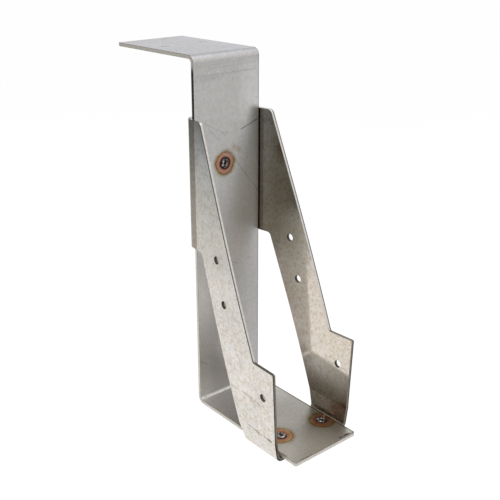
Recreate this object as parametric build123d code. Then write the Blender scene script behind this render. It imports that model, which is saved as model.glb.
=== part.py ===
from build123d import *
import math
import os

# Masonry joist hanger in bare stainless sheet, welded up from two folded sheets.
# Sizes are in millimetres. X runs across the joist, +Y runs back to the wall and +Z is up.
# The origin is the middle of the seat's top face, where the end of the joist bears.

# Back strap: the seat, the back plate and the top flange are one strip, folded twice.
strap_width = 50.5
strap_gauge = 2.3
bearing_length = 92.2
hang_height = 225.0
wall_reach = 78.0
strap_bend_radius = 2.5
strap_corner_radius = 1.2

# Two nail holes through the top flange.
flange_nail_diameter = 5.0
flange_nail_spacing = 28.8
flange_nail_set_back = 40.0

# Side stirrup: the under-strap, two legs and two rear flanges are one strip, folded four times.
stirrup_gauge = 2.05
stirrup_bend_radius = 4.1
rear_flange_bottom = 109.2
rear_flange_top = 190.2
rear_seam = 0.6

# The legs splay out from the back plate, because their rear bends are turned outwards.
corner_clearance = 0.5
corner_splay = 6.8
leg_ease_radius = 168.0
leg_flare_radii = (500.0, 400.0)
fold_mark_height = 9.5
fold_mark_radius = 3.0
foot_tuck = 2.0

# Outline of a leg seen from the side.
foot_set_back = 11.9
foot_length = 29.3
foot_height = 56.5
foot_step = 18.5
neck_length = 9.3
neck_corner_radius = 3.5
rear_corner_radius = 3.0
step_corner_radius = 1.5
foot_corner_radius = 1.0

# Three nail holes through each leg: two up the leg's middle line and one in the foot.
leg_nail_diameter = 5.0
leg_nail_heights = (83.5, 110.0)
leg_nail_stagger = 1.4
foot_nail_height = 37.0
foot_nail_inset = 9.8

# Weld spots: a plug through the strap, with a low cratered head that stands on its face.
weld_plug_diameter = 4.6
weld_head_diameter = 7.8
weld_head_height = 0.8
weld_crater_depth = 0.35
weld_root_depth = 0.8
weld_ridge_share = 0.55
back_weld_x = -2.5
back_weld_height = 159.4
seat_weld_left_margin = 12.65
seat_weld_left_inset = 26.8
seat_weld_right_margin = 6.35
seat_weld_right_inset = 22.9

# Stock that a cutter takes past the sheet it trims.
trim_margin = 10.0

half_width = strap_width / 2
seat_front = -bearing_length / 2
plate_front = bearing_length / 2
plate_rear = plate_front + strap_gauge
foot_inner_x = half_width + stirrup_bend_radius
foot_front = seat_front + foot_set_back
foot_rear = foot_front + foot_length
leg_start = fold_mark_height + stirrup_gauge
neck_y = plate_front - neck_length


def along_x(sketch_of_side, reach):
    """Extrude a sketch drawn in the YZ plane to both sides of the middle."""
    return extrude(sketch_of_side, amount=reach, both=True)


def drill_along(axis_plane, x, y, diameter, depth):
    """A drill of the given depth each way, centred on a point of a plane."""
    return extrude(axis_plane * Pos(x, y) * Circle(diameter / 2), amount=depth, both=True)


def weld_spot(plug_depth):
    """A weld spot about Z: its plug goes down, and its head stands on Z = 0."""
    plug = weld_plug_diameter / 2
    head = weld_head_diameter / 2
    ridge = head * weld_ridge_share
    with BuildPart() as spot:
        with BuildSketch(Plane.XZ):
            with BuildLine():
                Line((0, weld_head_height - weld_crater_depth), (0, -plug_depth))
                Line((0, -plug_depth), (plug, -plug_depth))
                Line((plug, -plug_depth), (plug, 0))
                Line((plug, 0), (head, 0))
                EllipticalCenterArc((ridge, 0), head - ridge, weld_head_height, arc_size=90)
                Spline(
                    (ridge, weld_head_height),
                    (0, weld_head_height - weld_crater_depth),
                    tangents=((-1, 0), (-1, 0)),
                )
            make_face()
        revolve(axis=Axis.Z)
    return spot.part


def weld_places():
    """Where each weld stands: its node name, the frame of its head and the depth of its plug."""
    back = Plane((back_weld_x, plate_front, back_weld_height), x_dir=(1, 0, 0), z_dir=(0, -1, 0))
    left = Plane((seat_weld_left_margin - half_width, seat_front + seat_weld_left_inset, 0))
    right = Plane((half_width - seat_weld_right_margin, seat_front + seat_weld_right_inset, 0))
    return {
        "back_weld": (back, strap_gauge + weld_root_depth),
        "seat_weld_left": (left, strap_gauge),
        "seat_weld_right": (right, strap_gauge),
    }


def back_strap():
    """Brake-form the strip, round its four corners, then pierce it for the nails and the welds."""
    flange_top = hang_height + strap_gauge
    with BuildLine(Plane.YZ) as fold_line:
        FilletPolyline(
            (seat_front, 0),
            (plate_front, 0),
            (plate_front, flange_top),
            (plate_rear + wall_reach, flange_top),
            radius=(strap_bend_radius, strap_bend_radius + strap_gauge),
        )
    sheet = make_brake_formed(strap_gauge, strap_width, fold_line.line, side=Side.LEFT)
    sheet = Pos(-sheet.bounding_box().center().X, 0, 0) * sheet
    ends = sheet.edges().filter_by(Axis.Z).filter_by(lambda e: abs(e.length - strap_gauge) < 0.01)
    sheet = fillet(ends, strap_corner_radius)
    for x in (-flange_nail_spacing / 2, flange_nail_spacing / 2):
        y = plate_rear + flange_nail_set_back
        level = Plane.XY.offset(hang_height)
        sheet -= drill_along(level, x, y, flange_nail_diameter, trim_margin)
    for frame, plug_depth in weld_places().values():
        sheet -= drill_along(frame, 0, 0, weld_plug_diameter, trim_margin)
    return sheet


def leg_section(height, flared):
    """Cut through the right half of the stirrup at one height: rear flange, corner bend and leg.

    Low down the leg eases back to run straight beside the seat. Up at the top, it
    would go on outwards in a long curve. The leg is ruled between the two.
    """
    splay = math.radians(corner_splay)
    along_flange = Vector(math.cos(splay), math.sin(splay))
    along_leg = Vector(math.sin(splay), -math.cos(splay))
    middle = Vector(0, plate_rear)
    beside_plate = Vector(half_width + corner_clearance, plate_front)
    corner = middle + along_flange * (beside_plate - middle).dot(along_flange)
    seam = middle + along_flange * (rear_seam / 2)
    meets_foot_line = corner + along_leg * ((foot_inner_x - corner.X) / along_leg.X)
    ease_start = meets_foot_line - along_leg * (leg_ease_radius * math.tan(splay / 2))
    ease_length = leg_ease_radius * splay
    end_y = seat_front - trim_margin
    with BuildLine() as path:
        FilletPolyline(seam, corner, ease_start, radius=stirrup_bend_radius)
        if flared:
            first_radius, last_radius = leg_flare_radii
            first_turn = math.degrees(ease_length / first_radius)
            first = JernArc(ease_start, along_leg, first_radius, first_turn)
            last_turn = math.degrees(((first @ 1).Y - end_y) / last_radius)
            JernArc(first @ 1, first % 1, last_radius, last_turn)
        else:
            ease = JernArc(ease_start, along_leg, leg_ease_radius, -corner_splay)
            Line(ease @ 1, (foot_inner_x, end_y))
    outline = path.wires()[0].offset_2d(stirrup_gauge, side=Side.LEFT, closed=True)
    return Pos(0, 0, height) * Face(outline)


def leg_outline():
    """The side view that both legs and the rear flanges are cut to."""
    below = -strap_gauge - stirrup_gauge - trim_margin
    behind = plate_rear + trim_margin
    step_y = foot_front + foot_step
    corners = {
        "step": (step_y, foot_height),
        "foot": (foot_front, foot_height),
        "neck": (neck_y, rear_flange_top),
        "rear": (neck_y, rear_flange_bottom),
    }
    radii = {
        "step": step_corner_radius,
        "foot": foot_corner_radius,
        "neck": neck_corner_radius,
        "rear": rear_corner_radius,
    }
    with BuildSketch(Plane.YZ) as side:
        with BuildLine():
            Polyline(
                (behind, rear_flange_bottom),
                corners["rear"],
                (foot_rear, 0),
                (foot_rear, below),
                (foot_front, below),
                corners["foot"],
                corners["step"],
                corners["neck"],
                (behind, rear_flange_top),
                close=True,
            )
        make_face()
        for name, (y, z) in corners.items():
            fillet(side.vertices().sort_by_distance((y, z, 0))[0], radii[name])
    return side.sketch


def leg_middle(height):
    """The middle of the slanted part of a leg at one height."""
    front_share = (height - foot_height) / (rear_flange_top - foot_height)
    front_edge = foot_front + foot_step + front_share * (neck_y - foot_front - foot_step)
    rear_edge = foot_rear + height / rear_flange_bottom * (neck_y - foot_rear)
    return (front_edge + rear_edge) / 2


def leg_nail_places():
    """Side-view places of the nail holes, which go through both legs."""
    lower, upper = leg_nail_heights
    return [
        (foot_front + foot_nail_inset, foot_nail_height),
        (leg_middle(lower) + leg_nail_stagger, lower),
        (leg_middle(upper) - leg_nail_stagger, upper),
    ]


def side_stirrup():
    """Fold the under-strap up into the feet, rule the legs above, then trim and pierce them all.

    Below the fold mark a foot leans in, and its bend starts right at the edge of the seat.
    """
    under = -strap_gauge
    bend_x = foot_inner_x - foot_tuck
    lean = math.atan2(fold_mark_height - under, foot_tuck)
    foot_bend_radius = (bend_x - half_width) / math.tan(lean / 2)
    with BuildLine(Plane.XZ) as fold_line:
        FilletPolyline(
            (-foot_inner_x, leg_start),
            (-foot_inner_x, fold_mark_height),
            (-bend_x, under),
            (bend_x, under),
            (foot_inner_x, fold_mark_height),
            (foot_inner_x, leg_start),
            radius=(fold_mark_radius, foot_bend_radius, foot_bend_radius, fold_mark_radius),
        )
    trough = make_brake_formed(stirrup_gauge, bearing_length, fold_line.line, side=Side.LEFT)
    trough = Pos(0, -trough.bounding_box().center().Y, 0) * trough
    low = leg_section(leg_start, flared=False)
    high = leg_section(rear_flange_top + trim_margin, flared=True)
    right_leg = loft([low, high], ruled=True)
    left_leg = mirror(right_leg, about=Plane.YZ)
    sheet = (trough + right_leg + left_leg) & along_x(leg_outline(), strap_width)
    for y, z in leg_nail_places():
        sheet -= drill_along(Plane.YZ, y, z, leg_nail_diameter, strap_width)
    return sheet


def build():
    stirrup = side_stirrup()
    pieces = {"back_strap": back_strap(), "side_stirrup": stirrup}
    for name, (frame, plug_depth) in weld_places().items():
        pieces[name] = frame * weld_spot(plug_depth) - stirrup
    return pieces


os.makedirs("parts", exist_ok=True)
for node, piece in build().items():
    piece.label = node
    export_step(piece, os.path.join("parts", node + ".step"))
    print(node, round(piece.volume), piece.bounding_box())
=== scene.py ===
# %% [markdown]
# # A welded joist hanger in bare stainless sheet
#
# A joist hanger is a steel shoe that holds the end of a floor joist against a wall. This one is
# made of two folded sheets and three weld spots. The back strap is the seat, the back plate and
# the top flange in one piece. The stirrup goes under the seat, up both sides and round behind the
# plate. The shapes come from a CAD model, which is loaded first and is never moved or changed.

# %% Load the fixed frame
import bmesh
import bpy
import math
from mathutils import Matrix, Vector, kdtree, noise


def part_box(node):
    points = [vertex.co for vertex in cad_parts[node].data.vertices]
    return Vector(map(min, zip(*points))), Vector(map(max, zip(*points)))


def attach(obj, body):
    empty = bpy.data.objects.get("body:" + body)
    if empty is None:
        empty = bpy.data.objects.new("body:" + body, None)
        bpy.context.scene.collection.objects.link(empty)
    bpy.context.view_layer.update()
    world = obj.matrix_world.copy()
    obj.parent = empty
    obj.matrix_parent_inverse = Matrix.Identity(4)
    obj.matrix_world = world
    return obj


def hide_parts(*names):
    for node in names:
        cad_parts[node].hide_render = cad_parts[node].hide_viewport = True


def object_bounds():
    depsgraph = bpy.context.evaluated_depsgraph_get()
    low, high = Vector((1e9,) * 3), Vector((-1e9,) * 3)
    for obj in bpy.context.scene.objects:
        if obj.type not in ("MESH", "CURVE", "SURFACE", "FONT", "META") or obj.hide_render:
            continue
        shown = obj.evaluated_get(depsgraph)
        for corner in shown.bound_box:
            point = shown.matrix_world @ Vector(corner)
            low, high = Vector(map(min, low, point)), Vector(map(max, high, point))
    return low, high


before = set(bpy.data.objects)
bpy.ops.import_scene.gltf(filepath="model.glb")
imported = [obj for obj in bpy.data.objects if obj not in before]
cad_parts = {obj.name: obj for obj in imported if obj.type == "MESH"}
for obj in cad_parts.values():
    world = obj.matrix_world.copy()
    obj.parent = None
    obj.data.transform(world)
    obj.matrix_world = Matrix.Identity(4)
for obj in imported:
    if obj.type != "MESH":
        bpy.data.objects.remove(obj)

cad_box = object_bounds()
scene = bpy.context.scene
MM = 0.001
print("box of the CAD model:", cad_box)

# %% [markdown]
# ## The camera
#
# The camera stands where the photographer stood: to the left of the hanger and a little above it.
# Its place was worked out from the corners of the strap, which lie in planes square to each other.
# It looks at the back of the plate, halfway up. A small shift puts the hanger off the middle of
# the picture, as it is in the photograph.

# %% Camera
picture_size = 500
focal_pixels = 825.89
sensor_width = 36
view_turn = math.radians(-38.80)
view_height = math.radians(20.28)
view_roll = math.radians(-0.59)
view_distance = 0.53058
shift_right_pixels = 23.6
shift_down_pixels = 17.8
plate_rear = 48.4 * MM
hang_height = 225 * MM
looks_at = Vector((0, plate_rear, hang_height / 2))

back = Vector((
    math.sin(view_turn) * math.cos(view_height),
    -math.cos(view_turn) * math.cos(view_height),
    math.sin(view_height),
))
level = Vector((math.cos(view_turn), math.sin(view_turn), 0))
upright = back.cross(level)
right = level * math.cos(view_roll) + upright * math.sin(view_roll)
up = upright * math.cos(view_roll) - level * math.sin(view_roll)

camera = bpy.data.objects.new("camera", bpy.data.cameras.new("camera"))
scene.collection.objects.link(camera)
stand = Matrix((right, up, back)).transposed().to_4x4()
stand.translation = looks_at + back * view_distance
camera.matrix_world = stand
camera.data.sensor_width = sensor_width
camera.data.lens = focal_pixels * sensor_width / picture_size
camera.data.shift_x = shift_right_pixels / picture_size
camera.data.shift_y = -shift_down_pixels / picture_size
scene.camera = camera
scene.view_settings.view_transform = "Standard"
print("camera at", camera.matrix_world.translation, "lens", round(camera.data.lens, 1))

# %% [markdown]
# ## Building materials with nodes
#
# Every finish here is made of shader nodes, and a few small helpers keep the code readable. Some
# add a node and fill in its inputs. Others make masks, which are 1 where a finish shows and 0
# elsewhere, or start a node group, which is made once and then placed in each material.

# %% Node helpers
def feed(tree, socket, value):
    """Link another node's output to an input, or give the input a plain value."""
    if isinstance(value, bpy.types.NodeSocket):
        tree.links.new(value, socket)
    else:
        socket.default_value = value


def feed_all(tree, node, inputs):
    """Feed a node's inputs by name, where an underscore stands for a space."""
    for name, value in inputs.items():
        feed(tree, node.inputs[name.replace("_", " ")], value)
    return node


def add(tree, kind, **inputs):
    """Add a node, and feed it."""
    return feed_all(tree, tree.nodes.new("ShaderNode" + kind), inputs)


def maths(tree, operation, first, second, clamp=False):
    """One sum, and its answer."""
    node = tree.nodes.new("ShaderNodeMath")
    node.operation = operation
    node.use_clamp = clamp
    feed(tree, node.inputs[0], first)
    feed(tree, node.inputs[1], second)
    return node.outputs[0]


def total_of(tree, *values):
    """Several values added up."""
    total = values[0]
    for value in values[1:]:
        total = maths(tree, "ADD", total, value)
    return total


def vector_maths(tree, operation, first, second):
    """One sum with places or colours, and its answer."""
    node = tree.nodes.new("ShaderNodeVectorMath")
    node.operation = operation
    feed(tree, node.inputs[0], first)
    feed(tree, node.inputs["Scale" if operation == "SCALE" else 1], second)
    return node.outputs["Value" if operation in ("DISTANCE", "DOT_PRODUCT") else "Vector"]


print("node helpers ready")

# %% Colour helpers
def rgb(red, green, blue):
    """A colour as it looks on a screen, 0 to 255, as the shader wants it."""
    def light(value):
        value /= 255
        return value / 12.92 if value <= 0.04045 else ((value + 0.055) / 1.055) ** 2.4
    return (light(red), light(green), light(blue), 1.0)


def blend_colours(tree, share, first, second, how="MIX"):
    """Mix two colours by a share. In a Mix node, colours have inputs 6 and 7 and output 2."""
    node = tree.nodes.new("ShaderNodeMix")
    node.data_type = "RGBA"
    node.blend_type = how
    for index, value in ((0, share), (6, first), (7, second)):
        feed(tree, node.inputs[index], value)
    return node.outputs[2]


def shade(tree, share, colour, factor):
    """Multiply a colour by a factor, where the share is 1."""
    return blend_colours(tree, share, colour, blend_colours(tree, 1.0, colour, factor, "MULTIPLY"))


print("steel grey as the shader wants it:", rgb(190, 189, 188))

# %% Mask helpers
def rise(tree, value, low, high):
    """A soft step: 0 below low, and 1 above high."""
    node = add(tree, "MapRange", Value=value, From_Min=low, From_Max=high)
    node.interpolation_type = "SMOOTHSTEP"
    return node.outputs["Result"]


def fall(tree, value, low, high):
    """The opposite step: 1 below low, and 0 above high."""
    return maths(tree, "SUBTRACT", 1.0, rise(tree, value, low, high))


def all_of(tree, *masks):
    """1 only where every mask is 1."""
    product = masks[0]
    for mask in masks[1:]:
        product = maths(tree, "MULTIPLY", product, mask)
    return product


def clouds(tree, place, scale, detail, roughness):
    """Soft noise between 0 and 1, with about scale clouds to the metre."""
    texture = add(tree, "TexNoise", Vector=place, Scale=scale, Detail=detail, Roughness=roughness)
    return texture.outputs["Fac"]


def line_mask(tree, place, start, end, width):
    """1 on the straight line between two points, falling to 0 a width away from it."""
    along = vector_maths(tree, "SUBTRACT", end, start)
    from_start = vector_maths(tree, "SUBTRACT", place, start)
    covered = vector_maths(tree, "DOT_PRODUCT", from_start, along)
    whole = vector_maths(tree, "DOT_PRODUCT", along, along)
    share = maths(tree, "DIVIDE", covered, whole, clamp=True)
    nearest = vector_maths(tree, "SCALE", along, share)
    apart = vector_maths(tree, "DISTANCE", from_start, nearest)
    return maths(tree, "SUBTRACT", 1.0, maths(tree, "DIVIDE", apart, width), clamp=True)


print("mask helpers ready")

# %% Group helpers
def start_group(name, inputs, outputs):
    """A node group with named inputs and outputs: the group, its input node and its output node."""
    group = bpy.data.node_groups.new(name, "ShaderNodeTree")
    for label, (kind, value) in inputs.items():
        socket = group.interface.new_socket(label, in_out="INPUT", socket_type="NodeSocket" + kind)
        if value is not None:
            socket.default_value = value
    for label, kind in outputs.items():
        group.interface.new_socket(label, in_out="OUTPUT", socket_type="NodeSocket" + kind)
    return group, group.nodes.new("NodeGroupInput").outputs, group.nodes.new("NodeGroupOutput")


def place_group(tree, group, **inputs):
    """Place a group in a material, feed it, and give its outputs."""
    node = tree.nodes.new("ShaderNodeGroup")
    node.node_tree = group
    return feed_all(tree, node, inputs).outputs


print("group helpers ready")

# %% [markdown]
# ## How the sheets are mottled
#
# Rolled stainless sheet isn't one even grey. It has faint clouds from pickling, hand marks, and a
# fine grain from the rolls. Clouds are slow noise, stains are a second noise with a warm colour,
# flecks and fine speckle are quicker noises, and the grain is noise that is drawn out one way. The
# group gives a colour, a roughness and a height, so that each sheet can use it with its own
# strength.

# %% Sheet finish group
grain_strength = 0.16
cloud_height = 0.5
cloud_gloss = -0.35
stain_roughness = 0.08


def sheet_finish_group():
    group, given, result = start_group(
        "rolled sheet",
        {
            "Place": ("Vector", None),
            "Grain Place": ("Vector", None),
            "Steel": ("Color", rgb(200, 199, 196)),
            "Stain": ("Color", rgb(190, 178, 160)),
            "Cloud": ("Float", 0.5),
            "Stain Share": ("Float", 0.5),
            "Fleck": ("Float", 0.1),
            "Fine": ("Float", 0.2),
            "Roughness": ("Float", 0.3),
        },
        {"Color": "Color", "Roughness": "Float", "Height": "Float"},
    )
    place = given["Place"]

    def pattern(strength, where=place, **noise_inputs):
        """Noise round zero, with its own strength."""
        level = maths(group, "SUBTRACT", clouds(group, where, **noise_inputs), 0.5)
        return maths(group, "MULTIPLY", level, strength)

    cloud = pattern(given["Cloud"], scale=34.0, detail=4.0, roughness=0.6)
    fine = pattern(given["Fine"], scale=1500.0, detail=2.0, roughness=0.5)
    grain = pattern(grain_strength, given["Grain Place"], scale=1.0, detail=4.0, roughness=0.6)
    stain = rise(group, clouds(group, place, scale=260.0, detail=5.0, roughness=0.72), 0.40, 0.64)
    stain = maths(group, "MULTIPLY", stain, given["Stain Share"])
    fleck = rise(group, clouds(group, place, scale=520.0, detail=3.0, roughness=0.6), 0.52, 0.62)
    fleck = maths(group, "MULTIPLY", fleck, given["Fleck"])

    light = maths(group, "SUBTRACT", total_of(group, cloud, fine, grain, 1.0), fleck)
    colour = blend_colours(group, stain, given["Steel"], given["Stain"])
    feed_all(group, result, {
        "Color": vector_maths(group, "SCALE", colour, light),
        "Roughness": total_of(
            group,
            maths(group, "MULTIPLY", total_of(group, cloud, grain), cloud_gloss),
            given["Roughness"],
            maths(group, "MULTIPLY", stain, stain_roughness),
        ),
        "Height": total_of(group, grain, fine, maths(group, "MULTIPLY", cloud, cloud_height)),
    })
    return group


rolled_sheet = sheet_finish_group()
print("group:", rolled_sheet.name)

# %% [markdown]
# ## Heat tint
#
# Heat turns bare stainless steel straw yellow, then brown and red, in rings round each weld. The
# colour depends only on how far a point is from the weld, so the group measures that distance and
# looks the colour up. A little noise keeps the rings from being perfect circles, and a second
# noise lets the sheet show through in patches.

# %% Heat tint group
tint_bands = (
    (0.00, rgb(70, 62, 58)),
    (0.48, rgb(76, 62, 58)),
    (0.56, rgb(152, 100, 82)),
    (0.66, rgb(186, 140, 120)),
    (0.78, rgb(170, 126, 96)),
    (0.88, rgb(112, 84, 46)),
    (1.00, rgb(150, 130, 88)),
)
tint_end = 1.28
ring_wander = 0.22
patch_share = 0.30


def heat_tint_group():
    group, given, result = start_group(
        "heat tint",
        {
            "Place": ("Vector", None),
            "Weld": ("Vector", None),
            "Reach": ("Float", 0.010),
            "Sheet": ("Color", rgb(190, 190, 188)),
            "Tone": ("Color", (1, 1, 1, 1)),
            "Fade Start": ("Float", 0.85),
        },
        {"Color": "Color"},
    )
    place = given["Place"]
    ripple = clouds(group, place, scale=230.0, detail=3.0, roughness=0.6)
    wander = maths(group, "MULTIPLY", maths(group, "SUBTRACT", ripple, 0.5), ring_wander)
    apart = vector_maths(group, "DISTANCE", place, given["Weld"])
    far = maths(group, "ADD", maths(group, "DIVIDE", apart, given["Reach"]), wander)
    tint = add(group, "ValToRGB", Fac=far)
    while len(tint.color_ramp.elements) < len(tint_bands):
        tint.color_ramp.elements.new(0.5)
    for stop, (position, colour) in zip(tint.color_ramp.elements, tint_bands):
        stop.position = position
        stop.color = colour
    toned = blend_colours(group, 1.0, tint.outputs["Color"], given["Tone"], "MULTIPLY")
    patches = rise(group, clouds(group, place, scale=190.0, detail=3.0, roughness=0.6), 0.42, 0.62)
    solid = maths(group, "SUBTRACT", 1.0, maths(group, "MULTIPLY", patches, patch_share))
    share = all_of(group, fall(group, far, given["Fade Start"], tint_end), solid)
    feed(group, result.inputs["Color"], blend_colours(group, share, given["Sheet"], toned))
    return group


heat_tint = heat_tint_group()
print("group:", heat_tint.name)

# %% [markdown]
# ## Scratches and stains
#
# The sheet was handled and stacked, so it has long thin scratches and small stains. A few marks are painted
# light and shade instead: a pink glint by the right seat weld, a shadow below a hole in the left leg and a
# reflection inside the right foot. Each mark is a straight line between two points, wide or narrow. The
# group gives 1 on the line and 0 away from it, and noise breaks the line up, as a real scratch skips.

# %% Scratch group
def scratch_group():
    group, given, result = start_group(
        "scratch",
        {
            "Place": ("Vector", None),
            "Start": ("Vector", None),
            "End": ("Vector", None),
            "Width": ("Float", 0.0002),
        },
        {"Broken Mask": "Float"},
    )
    place = given["Place"]
    mask = line_mask(group, place, given["Start"], given["End"], given["Width"])
    kept = rise(group, clouds(group, place, scale=480.0, detail=3.0, roughness=0.6), 0.32, 0.48)
    feed(group, result.inputs["Broken Mask"], all_of(group, mask, kept))
    return group


scratch = scratch_group()
print("group:", scratch.name)

# %% Draw marks
def draw_marks(tree, place, colour, marks):
    """Draw scratches, stains and a few painted light and shade marks, each from one place to another, in
    millimetres.
    """
    for start, end, width, strength, mark_colour in marks:
        line = place_group(
            tree, scratch, Place=place, Width=width * MM,
            Start=tuple(part * MM for part in start), End=tuple(part * MM for part in end),
        )
        mask = maths(tree, "MULTIPLY", line["Broken Mask"], strength)
        colour = blend_colours(tree, mask, colour, mark_colour)
    return colour


grey = rgb(120, 116, 110)
dark_grey = rgb(84, 80, 75)
slate = rgb(128, 132, 136)
pale = rgb(224, 220, 214)
brown = rgb(84, 62, 42)
rust = rgb(68, 46, 32)
tan = rgb(150, 118, 86)
print("colours for marks ready")

# %% [markdown]
# ## Tones that change from place to place
#
# Bare steel mirrors what stands round it, and its own skin varies too, so one part of a sheet is lighter or
# warmer than the next. Most zones paint that mirrored light and shade into the colour, as painted light,
# painted shade and painted reflection. A zone is a part of a sheet between soft steps along X, Y or Z. Each
# row of a list gives a zone's steps, the factor for its colour and what its roughness gains.

# %% Zones
def above(axis, low, high):
    """A step along an axis, in millimetres: 0 below low, and 1 above high."""
    return (rise, axis, low * MM, high * MM)


def below(axis, low, high):
    """The opposite step: 1 below low, and 0 above high."""
    return (fall, axis, low * MM, high * MM)


def zone_mask(tree, measures, steps):
    """1 where every step is 1. A step that is only a name is a mask among the measures."""
    masks = []
    for step in steps:
        if isinstance(step, str):
            masks.append(measures[step])
        else:
            make_step, axis, low, high = step
            masks.append(make_step(tree, measures[axis], low, high))
    return all_of(tree, *masks)


def tone_zones(tree, measures, colour, rough, zones):
    """Change a sheet's colour and roughness, zone by zone. Most colour factors are painted light and shade.
    """
    for steps, factor, more_rough in zones:
        mask = zone_mask(tree, measures, steps)
        if factor:
            colour = shade(tree, mask, colour, factor + (1,))
        if more_rough:
            rough = maths(tree, "ADD", rough, maths(tree, "MULTIPLY", mask, more_rough))
    return colour, rough


print("zones ready")

# %% Metal helpers
relief_depth = 0.2 * MM


def new_material(name):
    """A material, its node tree, its shader, and the place on the object that is being shaded."""
    material = bpy.data.materials.new(name)
    material.use_nodes = True
    tree = material.node_tree
    place = add(tree, "TexCoord").outputs["Object"]
    return material, tree, tree.nodes["Principled BSDF"], place


def read_attribute(tree, name):
    """A number that each vertex of the piece carries."""
    node = add(tree, "Attribute")
    node.attribute_name = name
    return node.outputs["Fac"]


def finish_metal(tree, shader, colour, rough, height, relief, metallic=1.0):
    """Give the shader a metal's colour, roughness and relief."""
    feed(tree, shader.inputs["Base Color"], colour)
    feed(tree, shader.inputs["Roughness"], rough)
    feed(tree, shader.inputs["Metallic"], metallic)
    bump = add(tree, "Bump", Strength=relief, Distance=relief_depth, Height=height)
    feed(tree, shader.inputs["Normal"], bump.outputs[0])


print("metal helpers ready")

# %% [markdown]
# ## The back strap's steel
#
# The strap is the cleaner of the two sheets: a cool, satin grey. Its grain has to follow the strip
# round both bends. Along this strip, Y plus Z grows steadily from the seat's front edge to the
# flange's back edge, so X and that sum are the strip laid out flat.

# %% Weld places
plate_front = 46.1 * MM
weld_nodes = ("back_weld", "seat_weld_left", "seat_weld_right")


def weld_foot(node):
    """Where a weld stands: the middle of its node, brought to the strap's face."""
    low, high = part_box(node)
    foot = (Vector(low) + Vector(high)) / 2
    if node == "back_weld":
        foot.y = plate_front
    else:
        foot.z = 0
    return foot


weld_feet = {node: weld_foot(node) for node in weld_nodes}
print(weld_feet)

# %% Heat rings on the strap
gold = (1.20, 1.18, 0.80, 1)
red_brown = (1.32, 0.90, 0.76, 1)
grey_brown = (0.92, 0.90, 0.88, 1)
heat_rings = (
    ("back_weld", 8.0, grey_brown, 0.85),
    ("seat_weld_left", 8.4, gold, 0.82),
    ("seat_weld_right", 8.6, gold, 0.82),
    ("seat_weld_left", 5.8, red_brown, 0.50),
    ("seat_weld_right", 6.0, red_brown, 0.50),
)


def tint_round_welds(tree, place, colour):
    """Lay the rings over a colour: each has a weld, a reach in millimetres, a tone and a fade."""
    for node, reach, tone, fade_start in heat_rings:
        tinted = place_group(
            tree, heat_tint,
            Place=place, Weld=weld_feet[node], Reach=reach * MM, Sheet=colour, Tone=tone,
            Fade_Start=fade_start,
        )
        colour = tinted["Color"]
    return colour


print("heat rings:", len(heat_rings))

# %% Marks on the strap
flange_top = 227.3 * MM
plate_marks = (
    ((10.6, 178.8), (23.7, 183.2), 0.60, 0.90, dark_grey),
    ((0.1, 167.2), (24.8, 136.3), 0.50, 0.55, grey),
    ((-24.0, 214.6), (23.9, 214.9), 0.80, 0.22, grey),
    ((-24.0, 212.2), (-4.0, 213.2), 2.20, 0.22, slate),
    ((2.0, 214.0), (23.0, 216.4), 1.60, 0.14, slate),
    ((-14.0, 218.5), (23.0, 219.2), 0.50, 0.18, grey),
    ((-24.0, 220.4), (10.0, 220.9), 0.40, 0.18, grey),
    ((-18.0, 186.5), (-1.5, 177.5), 0.60, 0.35, grey),
    ((-15.0, 183.0), (-6.0, 174.0), 0.50, 0.30, slate),
    ((-13.9, 216.1), (-13.5, 216.1), 0.70, 0.80, pale),
    ((-7.2, 216.5), (-6.8, 216.5), 0.60, 0.80, pale),
    ((2.6, 92.0), (7.6, 89.8), 0.50, 0.55, grey),
    ((16.2, 91.1), (19.7, 91.6), 0.50, 0.50, grey),
    ((-24.4, 28.0), (-19.8, 25.0), 0.60, 0.55, grey),
    ((15.4, 160.0), (15.7, 160.1), 0.55, 0.90, dark_grey),
    ((14.5, 162.8), (14.8, 162.9), 0.45, 0.80, dark_grey),
    ((-0.7, 178.7), (-0.5, 178.8), 0.50, 0.90, dark_grey),
    ((9.7, 170.7), (9.9, 170.8), 0.50, 0.70, dark_grey),
    ((5.0, 168.6), (9.0, 166.0), 3.00, 0.50, tan),
)
flange_marks = (
    ((-1.3, 112.5), (8.0, 121.3), 0.60, 0.60, brown),
    ((8.0, 121.3), (12.0, 124.8), 0.50, 0.45, brown),
)
seat_marks = (
    ((13.5, -44.4), (19.0, -44.9), 1.00, 0.90, rust),
    ((19.0, -44.9), (23.6, -45.5), 0.80, 0.95, rust),
    ((-20.0, -45.3), (-12.0, -45.6), 0.60, 0.55, brown),
    ((18.5, -43.8), (21.5, -44.6), 1.00, 0.95, rust),
    ((-24.9, -30.0), (-24.6, -37.0), 0.90, 0.80, brown),
    ((-24.0, 38.9), (-20.9, 39.5), 0.40, 0.60, dark_grey),
    # A painted glint: a pink-white streak by the right seat weld.
    ((22.2, -21.4), (24.6, -20.4), 0.90, 1.00, rgb(228, 184, 164)),
)
bend_marks = (
    ((-22.2, 45.2, 0.8), (-21.6, 45.4, 1.0), 0.80, 0.80, dark_grey),
)


def lay_on(marks, face):
    """Marks drawn flat, with the places that their ends have on a face of the strap."""
    return tuple((face(*start), face(*end), *finish) for start, end, *finish in marks)


strap_marks = (
    lay_on(plate_marks, lambda x, z: (x, plate_front / MM, z))
    + lay_on(flange_marks, lambda x, y: (x, y, flange_top / MM))
    + lay_on(seat_marks, lambda x, y: (x, y, 0.0))
    + bend_marks
)
print("marks on the strap:", len(strap_marks))

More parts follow.
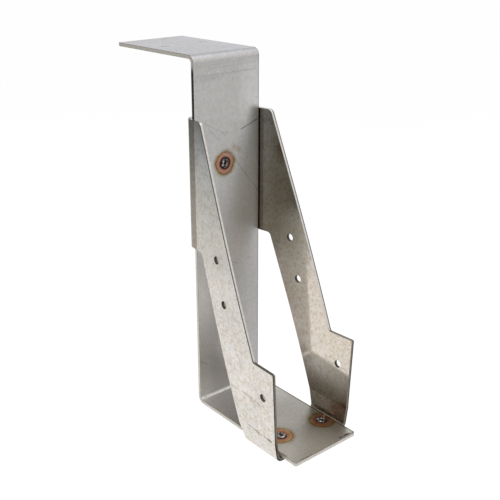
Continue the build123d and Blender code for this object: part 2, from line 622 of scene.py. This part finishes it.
# %% Tones of the strap
seat_level = below("Z", 0.5, 3)
low_on_plate = (below("Z", 68, 100), above("Y", 45.0, 45.9))
high_on_plate = (above("Z", 120, 165), below("Z", 216, 222))
strap_zones = (
    # painted shade: the seat darker, fading out towards the plate
    ((seat_level, below("Y", 0, 44)), (0.64, 0.625, 0.58), 0),
    # painted light: the seat's front lighter again
    ((seat_level, below("Y", -40, -20)), (1.56, 1.57, 1.58), 0),
    # painted shade: the top flange darker
    ((above("Z", 224.5, 226.8),), (0.69, 0.705, 0.765), 0),
    # painted light: the plate lighter low down on the left
    ((*low_on_plate, below("X", -22, -10)), (1.24, 1.24, 1.24), 0),
    # painted shade: the plate darker low down on the right, a painted reflection of the right leg
    ((*low_on_plate, above("X", -8, 12)), (0.88, 0.87, 0.87), 0),
    # painted light: the plate lighter high up on the right
    ((*high_on_plate, above("X", 6, 18)), (1.18, 1.18, 1.19), 0),
    # painted shadow: a dark line along the seat's right edge, beside the right foot
    ((seat_level, above("X", 23.9, 24.4)), (0.50, 0.47, 0.43), 0),
    # painted shade: a dark line along the strap's right edge
    ((above("X", 24.5, 24.85),), (0.42, 0.39, 0.36), 0),
    # painted highlight: a light line along the strap's left edge
    ((below("X", -24.9, -24.5),), (1.22, 1.20, 1.16), 0),
)
print("zones on the strap:", len(strap_zones))

# %% Strap material
grain_lines_across = 900.0
grain_lines_along = 45.0


def strip_place(tree, place):
    """The strap laid out flat, with its grain drawn out along its length."""
    axes = add(tree, "SeparateXYZ", Vector=place).outputs
    run = maths(tree, "ADD", axes["Y"], axes["Z"])
    flat = add(
        tree, "CombineXYZ",
        X=maths(tree, "MULTIPLY", axes["X"], grain_lines_across),
        Y=maths(tree, "MULTIPLY", run, grain_lines_along),
    )
    return flat.outputs[0]


def strap_material():
    material, tree, shader, place = new_material("strap_steel_finish")
    sheet = place_group(
        tree, rolled_sheet,
        Place=place,
        Grain_Place=strip_place(tree, place),
        Steel=rgb(190, 189, 188),
        Stain=rgb(183, 178, 170),
        Cloud=0.20,
        Stain_Share=0.5,
        Fleck=0.05,
        Fine=0.20,
        Roughness=0.33,
    )
    colour = tint_round_welds(tree, place, sheet["Color"])
    axes = add(tree, "SeparateXYZ", Vector=place).outputs
    colour, rough = tone_zones(tree, axes, colour, sheet["Roughness"], strap_zones)
    colour = draw_marks(tree, place, colour, strap_marks)
    finish_metal(tree, shader, colour, rough, sheet["Height"], relief=0.05)
    return material


strap_steel = strap_material()
print("material:", strap_steel.name)

# %% [markdown]
# ## The stirrup's steel
#
# The stirrup came from a glossier and more stained sheet. It has warm beige clouds that differ from place
# to place. Its grain is drawn out less than the strap's and runs upright, at a slant to the legs' edges.
# Painted light and shade change its tone with height, and between the outside and the inside of the legs.
# Where they wrap round behind the plate, the brake left a brown, blotched strip down each bend, which is
# painted darker still as shade, with a painted highlight and shade line along its die crease.

# %% Marks on the stirrup
stirrup_marks = (
    ((-31.5, -10.0, 11.2), (-31.4, -31.0, 9.8), 0.60, 0.75, dark_grey),
    ((-31.3, -27.5, 9.8), (-31.3, -31.0, 9.6), 0.90, 0.80, dark_grey),
    ((-31.5, 5.6, 32.2), (-31.5, 0.3, 31.4), 0.70, 0.75, grey),
    ((-31.5, -5.1, 32.4), (-31.5, -21.4, 30.9), 0.90, 0.75, grey),
    ((-31.5, -21.4, 30.9), (-31.5, -28.8, 30.7), 0.70, 0.80, grey),
    # A painted shadow: a tan band below a hole in the left leg.
    ((-31.5, -13.0, 30.5), (-31.5, -22.0, 30.0), 2.60, 0.25, tan),
    ((-31.5, -9.0, 39.1), (-31.5, -21.0, 41.0), 4.50, 0.16, tan),
    ((-31.5, -5.0, 58.8), (-31.5, -3.4, 44.0), 2.20, 0.22, slate),
    ((-31.5, 6.9, 49.8), (-31.5, 3.8, 41.9), 3.00, 0.20, tan),
    ((-32.0, 17.5, 112.4), (-32.1, 13.3, 112.6), 0.50, 0.70, dark_grey),
    ((-32.1, 13.3, 112.6), (-32.3, 8.8, 112.0), 0.50, 0.60, dark_grey),
    ((-31.6, 30.6, 161.8), (-31.8, 26.0, 159.6), 0.80, 0.50, dark_grey),
    ((-31.6, 29.5, 159.0), (-31.8, 27.0, 162.0), 0.60, 0.45, dark_grey),
    ((-31.0, 36.5, 189.0), (-31.4, 33.5, 174.0), 4.20, 0.70, slate),
    ((-31.2, 33.0, 174.0), (-31.6, 30.0, 160.0), 2.60, 0.55, slate),
    ((-31.4, 33.0, 161.5), (-31.6, 27.5, 159.0), 1.80, 0.60, slate),
    ((-31.6, 26.0, 140.0), (-31.8, 24.0, 132.0), 3.00, 0.25, slate),
    ((-31.8, 5.5, 64.6), (-31.8, 1.7, 61.1), 0.60, 0.45, grey),
    ((29.4, -17.9, 36.0), (29.4, -25.2, 47.6), 0.40, 0.45, grey),
    ((29.4, -15.4, 39.0), (29.4, -21.5, 49.0), 0.35, 0.40, grey),
    ((29.4, -20.9, 34.0), (29.4, -27.2, 45.0), 0.35, 0.35, grey),
    ((29.4, -27.5, 52.7), (29.4, -33.0, 51.8), 0.50, 0.55, brown),
    ((29.4, -29.0, 50.0), (29.4, -33.5, 49.6), 0.40, 0.40, grey),
    # A painted reflection: these reddish-brown smears inside the right foot stand in for the seat weld's
    # tint mirrored there.
    ((29.0, -24.0, 6.5), (29.2, -33.5, 9.5), 4.50, 0.75, rgb(102, 58, 40)),
    ((29.0, -25.0, 3.0), (29.0, -31.0, 2.6), 1.60, 0.50, rgb(150, 92, 70)),
    ((-31.4, -18.6, 9.6), (-31.4, -19.4, 9.0), 1.20, 0.50, tan),
    ((-31.4, -19.5, 37.0), (-31.4, -24.0, 32.5), 3.00, 0.22, tan),
)
print("marks on the stirrup:", len(stirrup_marks))

# %% Tones of the stirrup
rear_bend = (above("Y", 42.4, 42.8), above("Z", 100, 101), above("Across", 20, 28))
rear_flange = (above("Z", 100, 101), above("Across", 28, 29))
stirrup_zones = (
    # the brake's brown, blotched strip down the rear bend: partly its own colour, partly painted shade
    ((*rear_bend, "Blotches"), (0.58, 0.53, 0.49), 0),
    (rear_bend, None, 0.20),
    # painted highlight: the lit side of the die crease beside the bend
    ((*rear_flange, above("Y", 41.5, 41.7), below("Y", 41.9, 42.1)), (1.12, 1.12, 1.10), 0),
    # painted shade: the die crease's shaded side
    ((*rear_flange, above("Y", 42.3, 42.5), below("Y", 42.6, 42.8)), (0.70, 0.68, 0.66), 0),
    # painted shade: the stirrup darker above its feet
    ((above("Z", 48, 75),), (0.90, 0.90, 0.90), 0),
    # painted shade: less warm and a little darker towards the top
    ((above("Z", 120, 185),), (0.92, 0.96, 1.00), 0),
    # painted shade: the outside of the legs darker from the middle up
    (("Outside", above("Z", 84, 116)), (0.80, 0.80, 0.785), 0),
    # painted shade: the outside darker still towards the top
    (("Outside", above("Z", 115, 150)), (0.87, 0.875, 0.88), 0),
    # painted light: the outside of the feet lighter
    (("Outside", below("Z", 6, 24)), (1.07, 1.07, 1.07), 0),
    # warmer on the inside at middle heights
    (("Inside", above("Z", 24, 40), below("Z", 84, 112)), (0.975, 0.925, 0.87), 0),
    # painted shade: the inside of the legs darker and browner up high, by the plate
    (("Inside", above("Z", 84, 112)), (0.71, 0.70, 0.635), 0.12),
    # painted shade: the inside of the feet much darker, where they mirror the seat
    (("Inside", below("Z", 12, 32)), (0.39, 0.35, 0.30), 0.22),
)
# painted shadow: near black where the stirrup wraps round the plate's edges
painted_gap_shadow = (below("Across", 26.1, 26.6), above("Y", 45.1, 46.0), below("Y", 48.6, 48.9))
print("zones on the stirrup:", len(stirrup_zones))

# %% Stirrup material
grain_lines = (60.0, 420.0, 90.0)
blotch_base = 0.95
blotch_gain = 0.40


def stirrup_measures(tree, place):
    """What the stirrup's zones are measured by: places, sides of the sheet and blotches."""
    axes = add(tree, "SeparateXYZ", Vector=place).outputs
    inside = read_attribute(tree, "side")
    blotches = rise(tree, clouds(tree, place, scale=420.0, detail=4.0, roughness=0.7), 0.38, 0.60)
    return {
        "Y": axes["Y"],
        "Z": axes["Z"],
        "Across": maths(tree, "ABSOLUTE", axes["X"], 0.0),
        "Inside": inside,
        "Outside": maths(tree, "SUBTRACT", 1.0, inside),
        "Blotches": maths(tree, "ADD", blotch_base, maths(tree, "MULTIPLY", blotches, blotch_gain)),
    }


def stirrup_material():
    material, tree, shader, place = new_material("stirrup_steel_finish")
    sheet = place_group(
        tree, rolled_sheet,
        Place=place,
        Grain_Place=add(tree, "Mapping", Vector=place, Scale=grain_lines).outputs[0],
        Steel=rgb(221, 218, 213),
        Stain=rgb(212, 201, 184),
        Cloud=0.32,
        Stain_Share=0.75,
        Fleck=0.14,
        Fine=0.50,
        Roughness=0.05,
    )
    measures = stirrup_measures(tree, place)
    colour, rough = tone_zones(tree, measures, sheet["Color"], sheet["Roughness"], stirrup_zones)
    # The painted gap shadow turns those places near black.
    corner = zone_mask(tree, measures, painted_gap_shadow)
    colour = blend_colours(tree, corner, colour, rgb(30, 26, 22))
    colour = draw_marks(tree, place, colour, stirrup_marks)
    finish_metal(tree, shader, colour, rough, sheet["Height"], relief=0.03)
    return material


stirrup_steel = stirrup_material()
print("material:", stirrup_steel.name)

# %% [markdown]
# ## Weld metal
#
# A spot that was melted and left bare has a dark skin of oxide, with brighter metal on its crest
# where the skin is thin. The colour follows the height of the head and a little noise.

# %% Weld material
oxide, bare_crest = rgb(42, 38, 38), rgb(196, 190, 184)
spot_contrast = 5.0
spot_level = 0.53
crest_share = 0.45
oxide_roughness = 0.55
crest_gloss = 0.3


def weld_material():
    material, tree, shader, place = new_material("weld_metal_finish")
    skin = clouds(tree, place, scale=720.0, detail=4.0, roughness=0.6)
    spots = maths(tree, "MULTIPLY", maths(tree, "SUBTRACT", skin, spot_level), spot_contrast)
    crest = rise(tree, read_attribute(tree, "crest"), 0.35, 0.8)
    bare = maths(tree, "MULTIPLY", crest, maths(tree, "ADD", spots, crest_share), clamp=True)
    colour = blend_colours(tree, bare, oxide, bare_crest)
    rough = maths(tree, "SUBTRACT", oxide_roughness, maths(tree, "MULTIPLY", bare, crest_gloss))
    finish_metal(tree, shader, colour, rough, skin, relief=0.35)
    return material


weld_metal = weld_material()
print("material:", weld_metal.name)

# %% [markdown]
# ## Cut edges
#
# A sheet that was sheared and punched has three more finishes. Its cut face is bright, but darker on the
# foot, and painted near black as shade up the side of the plate, beside the stirrup's legs; the stirrup's
# has a thin dark line where the blade left the sheet. The wall of a punched hole is painted light in the
# strap, so that the hole looks pale, and painted shade in the stirrup. Along every cut runs a soft corner,
# dark with dirt and with painted shade, and from a step away it is a thin dark line.

# %% Edge materials
groove_grey = rgb(48, 45, 42)
worn_share = 0.5
worn_roughness = 0.15


def edge_material(name, colour, roughness, metallic=1.0, darker_colour=None, where=None, groove=None):
    """Streaked steel. It may be darker at some heights, which up the plate's side is painted shade, and
    have a dark groove along it.
    """
    material, tree, shader, place = new_material(name)
    streaks = clouds(tree, place, scale=700.0, detail=3.0, roughness=0.6)
    worn = maths(tree, "MULTIPLY", rise(tree, streaks, 0.35, 0.70), worn_share)
    if darker_colour:
        height = add(tree, "SeparateXYZ", Vector=place).outputs["Z"]
        colour = blend_colours(tree, where(tree, height), colour, darker_colour)
    if groove:
        side = read_attribute(tree, "side")
        start, middle, end = groove
        line = all_of(tree, rise(tree, side, start, middle), fall(tree, side, middle, end))
        colour = blend_colours(tree, line, colour, groove_grey)
    worn_tone = (0.62, 0.60, 0.57, 1) if darker_colour else (0.62, 0.62, 0.62, 1)
    colour = shade(tree, worn, colour, worn_tone)
    rough = maths(tree, "ADD", maths(tree, "MULTIPLY", worn, worn_roughness), roughness)
    finish_metal(tree, shader, colour, rough, streaks, relief=0.2, metallic=metallic)
    return material


def shadowed_plate_side(tree, height):
    """1 on the upper part of the plate's side, as far as the bend to the flange, where its cut face gets a
    painted shadow.
    """
    return all_of(
        tree, rise(tree, height, 150 * MM, 168 * MM), fall(tree, height, 217 * MM, 222 * MM),
    )


def in_the_foot(tree, height):
    """1 on the stirrup's feet."""
    return fall(tree, height, 56.8 * MM, 57.4 * MM)


print("edge finishes ready")

# %% Edges of each sheet
strap_edges = (
    # The strap's cut face is painted near black up the plate's side, as shadow beside the legs.
    edge_material(
        "strap_cut", rgb(206, 200, 190), 0.30, metallic=0.35, darker_colour=rgb(44, 42, 40), where=shadowed_plate_side,
    ),
    # The strap's hole walls are near white: painted light, so that its holes look pale.
    edge_material("strap_hole_wall", rgb(250, 246, 240), 0.30, metallic=0.3),
    # Rolled corners are dark: partly dirt, partly painted shade.
    edge_material("strap_rolled_corner", rgb(66, 60, 54), 0.50, metallic=0.35),
)
stirrup_edges = (
    edge_material(
        "stirrup_cut", rgb(214, 211, 206), 0.30, darker_colour=rgb(126, 119, 110), where=in_the_foot,
        groove=(-0.30, 0.14, 0.52),
    ),
    # The stirrup's hole walls are dark: painted shade.
    edge_material("stirrup_hole_wall", rgb(84, 75, 66), 0.45),
    # Rolled corners are dark: partly dirt, partly painted shade.
    edge_material("stirrup_rolled_corner", rgb(62, 57, 51), 0.50, metallic=0.35),
)
print("edge materials:", [material.name for material in strap_edges + stirrup_edges])

# %% [markdown]
# ## The two sheets
#
# The CAD sheets have knife-sharp edges, and real cut edges never have. So each sheet is shown by a
# merged copy of its CAD node, with its sharp edges bevelled by half a millimetre. Before that, its
# faces are sorted: the two largest smooth regions are the skins, a small one is the wall of a
# hole, and the rest are cut faces.

# %% Sort a sheet's faces
merge_distance = 0.002 * MM
sharp_angle = math.radians(40)
hole_reach = 7 * MM
SKIN, CUT, HOLE, CORNER = range(4)


def smooth_regions(shape):
    """Groups of faces that join without a sharp edge."""
    unseen = set(shape.faces)
    regions = []
    for first in shape.faces:
        if first not in unseen:
            continue
        unseen.discard(first)
        region = [first]
        for face in region:
            for edge in face.edges:
                if edge.calc_face_angle(math.pi) > sharp_angle:
                    continue
                for other in edge.link_faces:
                    if other in unseen:
                        unseen.discard(other)
                        region.append(other)
        regions.append(region)
    return regions


def region_reach(region):
    """The longest side of the box round some faces."""
    places = [point.co for face in region for point in face.verts]
    return max(
        max(place[axis] for place in places) - min(place[axis] for place in places)
        for axis in range(3)
    )


def sort_faces(shape):
    """Give each face its kind, and note which of the two skins it belongs to."""
    rank_layer = shape.faces.layers.int.new("rank")
    regions = smooth_regions(shape)
    regions.sort(key=lambda region: -sum(face.calc_area() for face in region))
    for rank, region in enumerate(regions):
        kind = SKIN if rank < 2 else HOLE if region_reach(region) < hole_reach else CUT
        for face in region:
            face.material_index = kind
            face[rank_layer] = rank
    return len(regions)


def nearest_skins(shape):
    """0 or 1 for each vertex: which of the sheet's two skins is nearer."""
    rank_layer = shape.faces.layers.int["rank"]
    ranks = {}
    for point in shape.verts:
        for face in point.link_faces:
            if face.material_index == SKIN:
                ranks[point.index] = face[rank_layer]
    tree = kdtree.KDTree(len(ranks))
    for index in ranks:
        tree.insert(shape.verts[index].co, index)
    tree.balance()
    return [float(ranks[tree.find(point.co)[1]]) for point in shape.verts]


print("kinds of face:", SKIN, CUT, HOLE, CORNER)

# %% [markdown]
# Shading needs good normals, because bare metal mirrors. A vertex on a skin takes its normal from
# the skin's own faces, weighted by their area, and a bevel only fills in between. The legs are
# twisted a little from bottom to top, so there the normal is worked out from the leg's shape: how
# fast it runs outwards along Y, and how much further out it is for each step up.

# %% Normals
splay = math.tan(math.radians(6.8))
ease_y = 25.8 * MM
ease_length = 19.9 * MM
ease_radius = 168 * MM
flare_radius = 450 * MM
leg_bottom = 11.55 * MM
leg_top = 200.2 * MM
bend_y = 40 * MM


def leg_normal(place):
    """Which way the outside of a leg faces at a place on it."""
    ahead = max(ease_y - place.y, 0.0)
    eased = min(ahead, ease_length)
    rise_share = (place.z - leg_bottom) / (leg_top - leg_bottom)
    low_slope = splay - eased / ease_radius
    high_slope = splay + ahead / flare_radius
    low_out = splay * eased - eased ** 2 / (2 * ease_radius)
    high_out = splay * ahead + ahead ** 2 / (2 * flare_radius)
    along = low_slope * (1 - rise_share) + high_slope * rise_share
    upward = (high_out - low_out) / (leg_top - leg_bottom)
    return Vector((1.0, along, -upward)).normalized()


def smooth_normals(shape, with_legs):
    """One normal for each vertex, from the most important kind of face that it touches."""
    normals = []
    for point in shape.verts:
        kind = min(face.material_index for face in point.link_faces)
        total = Vector()
        for face in point.link_faces:
            if face.material_index == kind:
                total += face.normal * face.calc_area()
        normal = total.normalized()
        on_leg = with_legs and kind == SKIN and point.co.y < bend_y and point.co.z > leg_bottom
        if on_leg:
            outward = leg_normal(point.co)
            side = 1 if point.co.x > 0 else -1
            outward.x *= side
            normal = outward if normal.x * side > 0 else -outward
        normals.append(normal)
    return normals


print("legs splay by", round(math.degrees(math.atan(splay)), 1), "degrees")

# %% Soften a sheet's edges
edge_softness = 0.50 * MM
flat_enough = math.radians(0.05)
upward_cuts = (Vector((0, 0, 1)), 14 * MM, 190 * MM, 8 * MM)
backward_cuts = (Vector((0, 1, 0)), -30 * MM, 40 * MM, 7 * MM)


def cut_across(shape, direction, first, last, step):
    """Cut extra edges across a shape, so that its normals follow its twist."""
    for number in range(int((last - first) / step)):
        everything = shape.verts[:] + shape.edges[:] + shape.faces[:]
        bmesh.ops.bisect_plane(
            shape, geom=everything, dist=merge_distance,
            plane_co=direction * (first + number * step), plane_no=direction,
        )


def soft_shape(node, with_legs):
    """A merged copy of a CAD sheet, with its faces sorted and its sharp edges bevelled."""
    shape = bmesh.new()
    shape.from_mesh(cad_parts[node].data)
    bmesh.ops.remove_doubles(shape, verts=shape.verts, dist=merge_distance)
    bmesh.ops.dissolve_limit(shape, angle_limit=flat_enough, verts=shape.verts, edges=shape.edges)
    regions = sort_faces(shape)
    sharp = [edge for edge in shape.edges if edge.calc_face_angle(0.0) > sharp_angle]
    corners = bmesh.ops.bevel(
        shape, geom=sharp, offset=edge_softness, offset_type="OFFSET", segments=3, profile=0.5,
        affect="EDGES", clamp_overlap=True, material=-1,
    )
    for face in corners["faces"]:
        face.material_index = CORNER
    if with_legs:
        cut_across(shape, *upward_cuts)
        cut_across(shape, *backward_cuts)
    shape.normal_update()
    for face in shape.faces:
        face.smooth = True
    shape.verts.index_update()
    shape.verts.ensure_lookup_table()
    print(node, "smooth regions:", regions, "faces:", len(shape.faces))
    return shape


def add_object(shape, name, materials):
    """Turn a finished bmesh into an object in the scene."""
    mesh = bpy.data.meshes.new(name)
    shape.to_mesh(mesh)
    shape.free()
    for material in materials:
        mesh.materials.append(material)
    piece = bpy.data.objects.new(name, mesh)
    scene.collection.objects.link(piece)
    return piece


print("sharp edges are softened by", edge_softness, "m")

# %% The strap and the stirrup
def soft_edged_copy(node, name, materials, with_legs):
    """The piece that stands for a CAD sheet."""
    shape = soft_shape(node, with_legs)
    normals = smooth_normals(shape, with_legs)
    sides = nearest_skins(shape)
    piece = add_object(shape, name, materials)
    piece.data.normals_split_custom_set_from_vertices(normals)
    piece.data.attributes.new("side", "FLOAT", "POINT").data.foreach_set("value", sides)
    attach(piece, "root")
    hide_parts(node)
    return piece


strap = soft_edged_copy("back_strap", "strap_sheet", (strap_steel,) + strap_edges, with_legs=False)
stirrup = soft_edged_copy("side_stirrup", "stirrup_sheet", (stirrup_steel,) + stirrup_edges, with_legs=True)
print("sheets:", strap.name, stirrup.name)

# %% [markdown]
# ## The weld spots
#
# A plug weld leaves a round head: a collar where the metal ran out, a raised ring and a crater
# where it sank as it cooled. Half of its outline is drawn as a chain of edges and spun round the
# spot's own axis. Then each point moves a little, because no weld is perfectly round. A short
# skirt goes down into the strap and closes the head.

# %% Weld head's shape
head_radius = 3.9 * MM
head_height = 0.8 * MM
head_outline = (
    (0.00, 0.30), (0.10, 0.31), (0.20, 0.40), (0.28, 0.56), (0.34, 0.72), (0.42, 0.90),
    (0.50, 0.98), (0.58, 0.96), (0.66, 0.80), (0.72, 0.62), (0.78, 0.52), (0.84, 0.46),
    (0.90, 0.34), (0.96, 0.16), (1.00, 0.00),
)
head_shrink = 0.985
head_steps = 72
unevenness = 0.14
most_swell = 0.1
slow_bumps = 700
fast_bumps = 1500
seed_shift = (3.1, 1.7, 0.9)
rim_share = 0.95
settle = 0.03 * MM
lowest = 0.02 * MM
skirt_depth = 0.3 * MM


def spun_head():
    """The outline spun into a round head. Each vertex keeps its outline's height as its crest."""
    shape = bmesh.new()
    crest = shape.verts.layers.float.new("crest")
    chain = []
    for share, height in head_outline:
        point = shape.verts.new((share * head_radius * head_shrink, 0, height * head_height))
        point[crest] = height
        chain.append(point)
    edges = [shape.edges.new(pair) for pair in zip(chain, chain[1:])]
    bmesh.ops.spin(
        shape, geom=chain + edges, axis=(0, 0, 1), cent=(0, 0, 0),
        angle=math.tau, steps=head_steps, use_merge=True, use_duplicate=False,
    )
    bmesh.ops.remove_doubles(shape, verts=shape.verts, dist=merge_distance)
    return shape


def roughen_head(shape, seed):
    """Move each point a little, but keep the head inside its CAD solid's height."""
    shift = Vector([seed * part for part in seed_shift])
    for point in shape.verts:
        radius = point.co.xy.length / head_radius
        turn = noise.noise(point.co * slow_bumps + shift)
        wave = noise.noise(point.co * fast_bumps + shift * 2)
        narrower = 1 - unevenness * max(turn, -most_swell) * radius * (1 - radius)
        point.co.x *= narrower
        point.co.y *= narrower
        if radius < rim_share:
            point.co.z = max(point.co.z * (1 + unevenness * wave) - settle, lowest)
            point.co.z = min(point.co.z, head_height)


def close_head(shape):
    """Draw the rim down into the strap as a skirt, and close it."""
    rim = [edge for edge in shape.edges if edge.is_boundary]
    low = bmesh.ops.extrude_edge_only(shape, edges=rim)["geom"]
    for point in (part for part in low if isinstance(part, bmesh.types.BMVert)):
        point.co.z = -skirt_depth
    bmesh.ops.holes_fill(shape, edges=[edge for edge in shape.edges if edge.is_boundary], sides=0)
    bmesh.ops.recalc_face_normals(shape, faces=shape.faces)


print("points on a head's outline:", len(head_outline))

# %% Weld heads
def weld_head(node, name, to_world, seed):
    """The piece that stands for a CAD weld."""
    shape = spun_head()
    roughen_head(shape, seed)
    close_head(shape)
    bmesh.ops.transform(shape, matrix=to_world, verts=shape.verts)
    for face in shape.faces:
        face.smooth = True
    piece = add_object(shape, name, (weld_metal,))
    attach(piece, "root")
    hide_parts(node)
    print(name, "faces:", len(piece.data.polygons))
    return piece


for seed, (node, foot) in enumerate(weld_feet.items()):
    to_world = Matrix.Translation(foot)
    if node == "back_weld":
        to_world = to_world @ Matrix.Rotation(math.radians(90), 4, "X")
    weld_head(node, node + "_head", to_world, seed + 1)

# %% [markdown]
# ## Floor, light and background
#
# Bare metal shows what is round it, so the studio matters as much as the steel. The hanger stands on a
# floor in a bright, even room. The floor's colour paints light and shade for the steel to mirror: a painted
# pool of light near the hanger, a painted band of light out to the front right, and painted shade farther
# off, because the legs' tops mirror a dark part of the studio. A camera ray sees the floor and the room as
# white. A mirrored ray sees the room and the floor's pale part so too. A large soft lamp overhead keeps the
# shadows faint.

# %% Floor
# The floor's pale pool and band are painted light, and its dim part painted shade, for the steel to mirror.
pale_floor = (0.97, 0.97, 0.97, 1)
dim_floor = (0.14, 0.14, 0.14, 1)
painted_light_pool = ((-0.12, 0.15, 0), (-0.11, 0.17, 0), 0.90)
pool_strength = 1.12
painted_light_band = ((0.5, -0.65, 0), (1.2, -1.6, 0), 1.2)
front_strength = 0.97
glow_strength = 1.055
glow_share = 0.93


def floor_material():
    """A matt floor that glows white for the camera, and for mirrored rays on its pale part."""
    material = bpy.data.materials.new("pale_floor")
    material.use_nodes = True
    tree = material.node_tree
    tree.nodes.clear()
    place = add(tree, "TexCoord").outputs["Object"]
    near = maths(tree, "MULTIPLY", line_mask(tree, place, *painted_light_pool), pool_strength, clamp=True)
    front = maths(tree, "MULTIPLY", line_mask(tree, place, *painted_light_band), front_strength, clamp=True)
    bright = maths(tree, "MAXIMUM", near, front)
    path = add(tree, "LightPath").outputs
    mirrored = maths(tree, "MAXIMUM", path["Is Glossy Ray"], path["Is Transmission Ray"])
    mirrored = all_of(tree, mirrored, bright, bright)
    shown = maths(tree, "MAXIMUM", path["Is Camera Ray"], mirrored)
    matt = add(tree, "BsdfDiffuse", Color=blend_colours(tree, bright, dim_floor, pale_floor))
    glow = add(tree, "Emission", Color=(1, 1, 1, 1), Strength=glow_strength)
    mixed = add(tree, "MixShader", Fac=maths(tree, "MULTIPLY", shown, glow_share))
    tree.links.new(matt.outputs[0], mixed.inputs[1])
    tree.links.new(glow.outputs[0], mixed.inputs[2])
    add(tree, "OutputMaterial", Surface=mixed.outputs[0])
    return material


floor_size = 14.0
floor_level = cad_box[0][2] - 0.01 * MM
floor_shape = bmesh.new()
bmesh.ops.create_grid(floor_shape, x_segments=1, y_segments=1, size=floor_size / 2)
bmesh.ops.translate(floor_shape, verts=floor_shape.verts, vec=(0, 0, floor_level))
floor = add_object(floor_shape, "floor", (floor_material(),))
print("floor height:", round(floor_level, 5))

# %% World
room_tint = (0.96, 0.98, 1.0, 1)
room_strength = 0.80

world = bpy.data.worlds.new("bright room")
scene.world = world
world.use_nodes = True
room = world.node_tree
room.nodes.clear()
path = add(room, "LightPath").outputs
shown = maths(room, "MAXIMUM", path["Is Camera Ray"], path["Is Glossy Ray"])
shown = maths(room, "MAXIMUM", shown, path["Is Transmission Ray"])
seen = add(room, "Background", Color=(1, 1, 1, 1), Strength=1.0)
lit = add(room, "Background", Color=room_tint, Strength=room_strength)
mixed = add(room, "MixShader", Fac=shown)
room.links.new(lit.outputs[0], mixed.inputs[1])
room.links.new(seen.outputs[0], mixed.inputs[2])
add(room, "OutputWorld", Surface=mixed.outputs[0])
print("world:", world.name)

# %% Lamps
def soft_lamp(name, place, width, height, power):
    """A rectangular soft box, sized in metres, that faces the hanger."""
    lamp = bpy.data.lights.new(name, "AREA")
    lamp.shape = "RECTANGLE"
    lamp.size = width
    lamp.size_y = height
    lamp.energy = power
    holder = bpy.data.objects.new(name, lamp)
    scene.collection.objects.link(holder)
    holder.location = place
    holder.rotation_euler = (Vector(place) - looks_at).to_track_quat("Z", "Y").to_euler()
    return holder


lamps = (
    soft_lamp("overhead", (-0.1, -0.2, 1.4), width=2.2, height=2.2, power=14.0),
    soft_lamp("behind on the right", (0.9, 1.1, 0.62), width=1.2, height=0.9, power=0.5),
)
print("lamps:", [lamp.name for lamp in lamps])
